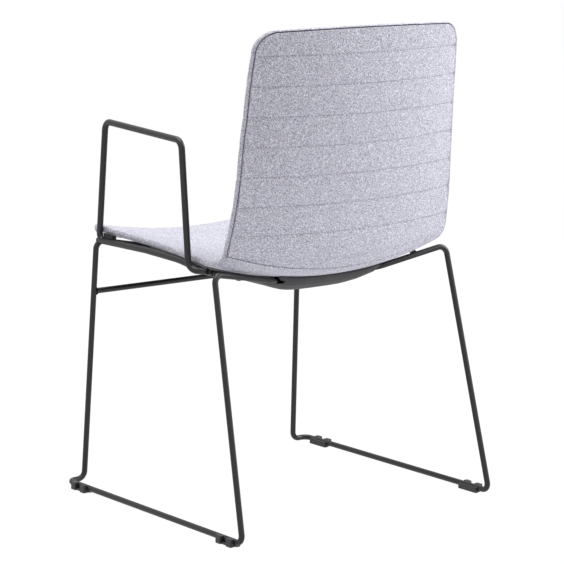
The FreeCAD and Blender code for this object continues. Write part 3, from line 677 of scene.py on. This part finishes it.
# %% Cloth and thread
YARN_PITCH = 0.0013
GRAIN, FLECK, BLOT = (520.0, 3.0, 0.62), (1500.0, 2.0, 0.7), (60.0, 2.0, 0.5)
CLOTH_RELIEF = 0.00045


def melange(name, dark, mid, light):
    """Cloth of three greys, with its weave."""
    cloth = Finish(name)
    pattern = cloth.node("ShaderNodeUVMap", {"uv_map": "cloth"})
    split = cloth.node("ShaderNodeSeparateXYZ", None, {"Vector": pattern})
    across = Value(cloth, split.socket.node.outputs[0])
    down = Value(cloth, split.socket.node.outputs[1])
    turns = 2 * math.pi / YARN_PITCH
    warp = (across * turns).math("SINE")
    weft = (down * turns).math("SINE")
    weave = warp * weft * 0.5 + 0.5
    grain = cloth.cloud(*GRAIN)
    fleck = cloth.cloud(*FLECK)
    blot = cloth.cloud(*BLOT)
    specks = cloth.band(grain, 0.34, 0.66) * 0.62 + cloth.band(fleck, 0.36, 0.64) * 0.30
    tint = specks + weave * 0.08
    base = cloth.mix(cloth.band(tint, 0.12, 0.5), dark, mid)
    colour = cloth.mix(cloth.band(tint, 0.5, 0.9), base, light)
    shade = cloth.mix(cloth.band(blot, 0.25, 0.75) * 0.06, colour, dark)
    relief = weave * 0.5 + grain * 0.7 + fleck * 0.35
    return cloth.set(Base_Color=shade, Roughness=0.92, Specular_IOR_Level=0.18, Sheen_Weight=0.25,
                     Sheen_Roughness=0.55, Normal=cloth.bump(relief, CLOTH_RELIEF))


cover_cloth = melange("cover_cloth", tone(128, 127, 140), tone(188, 187, 200), tone(240, 240, 250))
for panel in (front_upholstery, back_upholstery, lower_upholstery):
    panel.data.materials.append(cover_cloth)

TWIST, THREAD_RELIEF = (2600.0, 2.0, 0.6), 0.0001
thread = Finish("sewing_thread")
twist = thread.cloud(*TWIST)
# Both thread tones are darker than the cloth: painted shade of the channel and the stitch holes.
thread_shade_colour = thread.mix(twist, tone(132, 131, 142), tone(160, 159, 170))
thread_paint = thread.set(Base_Color=thread_shade_colour, Roughness=0.8,
                          Normal=thread.bump(twist, THREAD_RELIEF))
for row in (front_stitches, back_stitches):
    row.data.materials.append(thread_paint)

# %% [markdown]
# ## Powder coat, moulded plastic, rubber and zinc
# Powder coat is a baked paint: black, half matt, with a fine orange-peel skin that breaks up
# highlights. The pan and glides are moulded plastic with a spark-eroded grain. The fasteners are
# zinc plated and the small pads are rubber. All of them are a fine skin over a slow drift of tone,
# so one function makes them. It takes its pattern from object coordinates and fits any piece.

# %% Hard finishes
PEEL_DETAIL, PEEL_ROUGH = 2.0, 0.5
DRIFT = (14.0, 3.0, 0.5)


def coat(name, dark, light, peel_scale, peel_depth, rough_low, rough_high, metallic=0.0):
    """A hard finish between two tones, with a skin of this scale and depth."""
    paint = Finish(name)
    peel = paint.cloud(peel_scale, PEEL_DETAIL, PEEL_ROUGH)
    drift = paint.cloud(*DRIFT)
    colour = paint.mix(drift, dark, light)
    rough = paint.band(peel * 0.6 + drift * 0.4, 0.3, 0.7, rough_low, rough_high)
    return paint.set(Base_Color=colour, Roughness=rough, Metallic=metallic,
                     Normal=paint.bump(peel, peel_depth))


powder_black = coat("powder_black", tone(12, 11, 16), tone(18, 17, 23), 900.0, 0.00006, 0.38, 0.50)
pan_grain = coat("pan_grain", tone(26, 25, 31), tone(33, 32, 38), 1700.0, 0.00009, 0.52, 0.64)
glide_grain = coat("glide_grain", tone(34, 34, 38), tone(44, 44, 48), 1300.0, 0.00008, 0.42, 0.56)
pad_grain = coat("pad_grain", tone(30, 30, 32), tone(38, 38, 40), 1500.0, 0.0001, 0.75, 0.88)
shell_grain = coat("shell_grain", tone(52, 52, 55), tone(60, 60, 63), 400.0, 0.00015, 0.6, 0.75)
zinc_plate = coat("zinc_plate", tone(165, 166, 170), tone(190, 191, 194), 700.0, 0.00004,
                  0.28, 0.42, metallic=1.0)

FINISH_OF = {
    "sled_frame_left": powder_black, "sled_frame_right": powder_black, "arm_left": powder_black,
    "arm_right": powder_black, "front_brace": powder_black, "brace_welds": powder_black,
    "arm_welds": powder_black, "plate_welds": powder_black, "rear_mount_plate": powder_black,
    "front_mount_plate": powder_black, "mount_washers": zinc_plate, "mount_screws": zinc_plate,
    "shell_inserts": zinc_plate, "pan_screws": zinc_plate, "seat_shell": shell_grain,
    "under_pan": pan_grain, "rail_pad_left": pad_grain, "rail_pad_right": pad_grain}
for node_name, paint in FINISH_OF.items():
    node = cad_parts[node_name]
    node.data.materials.clear()
    node.data.materials.append(paint)
for piece in glides:
    piece.data.materials.append(glide_grain)
print("finished nodes", len(FINISH_OF), "and", len(glides), "glides")

# %% [markdown]
# ## Floor and surroundings
# The chair stands on a plain white floor, and pale surroundings fill the shadows. Where a ray comes
# straight from the camera, from a mirroring surface or through glass, floor and surroundings glow
# white. For all other rays the floor is ordinary paint and the surroundings are dimmer, so the
# chair isn't flooded with light. A small share of the floor is paint for every ray, and so it keeps
# the chair's shadow.

# %% Floor and surroundings
FLOOR_REACH = 30.0
FLOOR_LIFT, FLOOR_GLOW = 0.95, 1.03
ROOM_LIGHT = 0.42
WHITE = (1.0, 1.0, 1.0, 1.0)
SEEN_BY = ("Is Camera Ray", "Is Glossy Ray", "Is Transmission Ray")


def seen_rays(finish):
    """1 for a ray that shows what it meets, 0 for one that only carries light."""
    path = finish.node("ShaderNodeLightPath").socket.node
    first, *others = (Value(finish, path.outputs[name]) for name in SEEN_BY)
    for other in others:
        first = first.math("MAXIMUM", other)
    return first


bm = bmesh.new()
bmesh.ops.create_grid(bm, x_segments=1, y_segments=1, size=FLOOR_REACH)
floor_mesh = bpy.data.meshes.new("floor")
bm.to_mesh(floor_mesh)
bm.free()
floor = bpy.data.objects.new("floor", floor_mesh)
bpy.context.scene.collection.objects.link(floor)

ground = Finish("floor_white")
ground.set(Base_Color=tone(245, 245, 247), Roughness=0.9)
glow = ground.node("ShaderNodeEmission", None, {"Color": WHITE, "Strength": FLOOR_GLOW})
lit = Value(ground, ground.shader.outputs[0])
share = seen_rays(ground) * FLOOR_LIFT
both = ground.node("ShaderNodeMixShader", None, {0: share, 1: lit, 2: glow})
ground.feed(ground.tree.nodes["Material Output"].inputs["Surface"], both)
floor.data.materials.append(ground.made)

studio = Finish("studio", bpy.data.worlds, "Background")
amount = studio.node("ShaderNodeMix", None, {0: seen_rays(studio), 2: ROOM_LIGHT, 3: 1.0})
bpy.context.scene.world = studio.set(Color=WHITE, Strength=amount)
print("floor reaches", FLOOR_REACH, "m, room light", ROOM_LIGHT)

# %% [markdown]
# ## Lamps and camera
# A large lamp stands to the right of the camera and above, as in a studio. A second hangs over the
# chair, and a weak one lifts the shadows on the left. The camera stands behind the chair, a little
# higher than its back, with a long lens that keeps upright rods nearly parallel.

# %% Lamps and camera
def lamp(name, place, aim, wide, power):
    """Square lamp that looks at a point."""
    data = bpy.data.lights.new(name, "AREA")
    data.shape = "SQUARE"
    data.size = wide
    data.energy = power
    made = bpy.data.objects.new(name, data)
    made.location = place
    made.rotation_euler = (Vector(aim) - Vector(place)).to_track_quat("-Z", "Y").to_euler()
    bpy.context.scene.collection.objects.link(made)
    print("lamp", name, power, "W")


MIDDLE = (0.0, 0.0, 0.45)
lamp("key", (-2.8, 1.6, 2.2), MIDDLE, 1.8, 110.0)
lamp("top", (0.2, -0.5, 3.2), MIDDLE, 2.2, 78.0)
lamp("fill", (2.6, 2.4, 1.4), MIDDLE, 2.4, 5.0)

CAMERA_PLACE, FOCAL_LENGTH, SENSOR_WIDTH = (2.4843, 3.1951, 1.0821), 150.7, 36.0
AZIMUTH, ELEVATION = math.radians(141.93), math.radians(9.95)
back = Vector((math.sin(AZIMUTH) * math.cos(ELEVATION), -math.cos(AZIMUTH) * math.cos(ELEVATION),
               math.sin(ELEVATION)))
lens = bpy.data.cameras.new("camera")
lens.lens = FOCAL_LENGTH
lens.sensor_width = SENSOR_WIDTH
camera = bpy.data.objects.new("camera", lens)
camera.location = CAMERA_PLACE
camera.rotation_mode = "QUATERNION"
camera.rotation_quaternion = (-back).to_track_quat("-Z", "Y")
bpy.context.scene.collection.objects.link(camera)
bpy.context.scene.camera = camera
bpy.context.scene.view_settings.view_transform = "Standard"
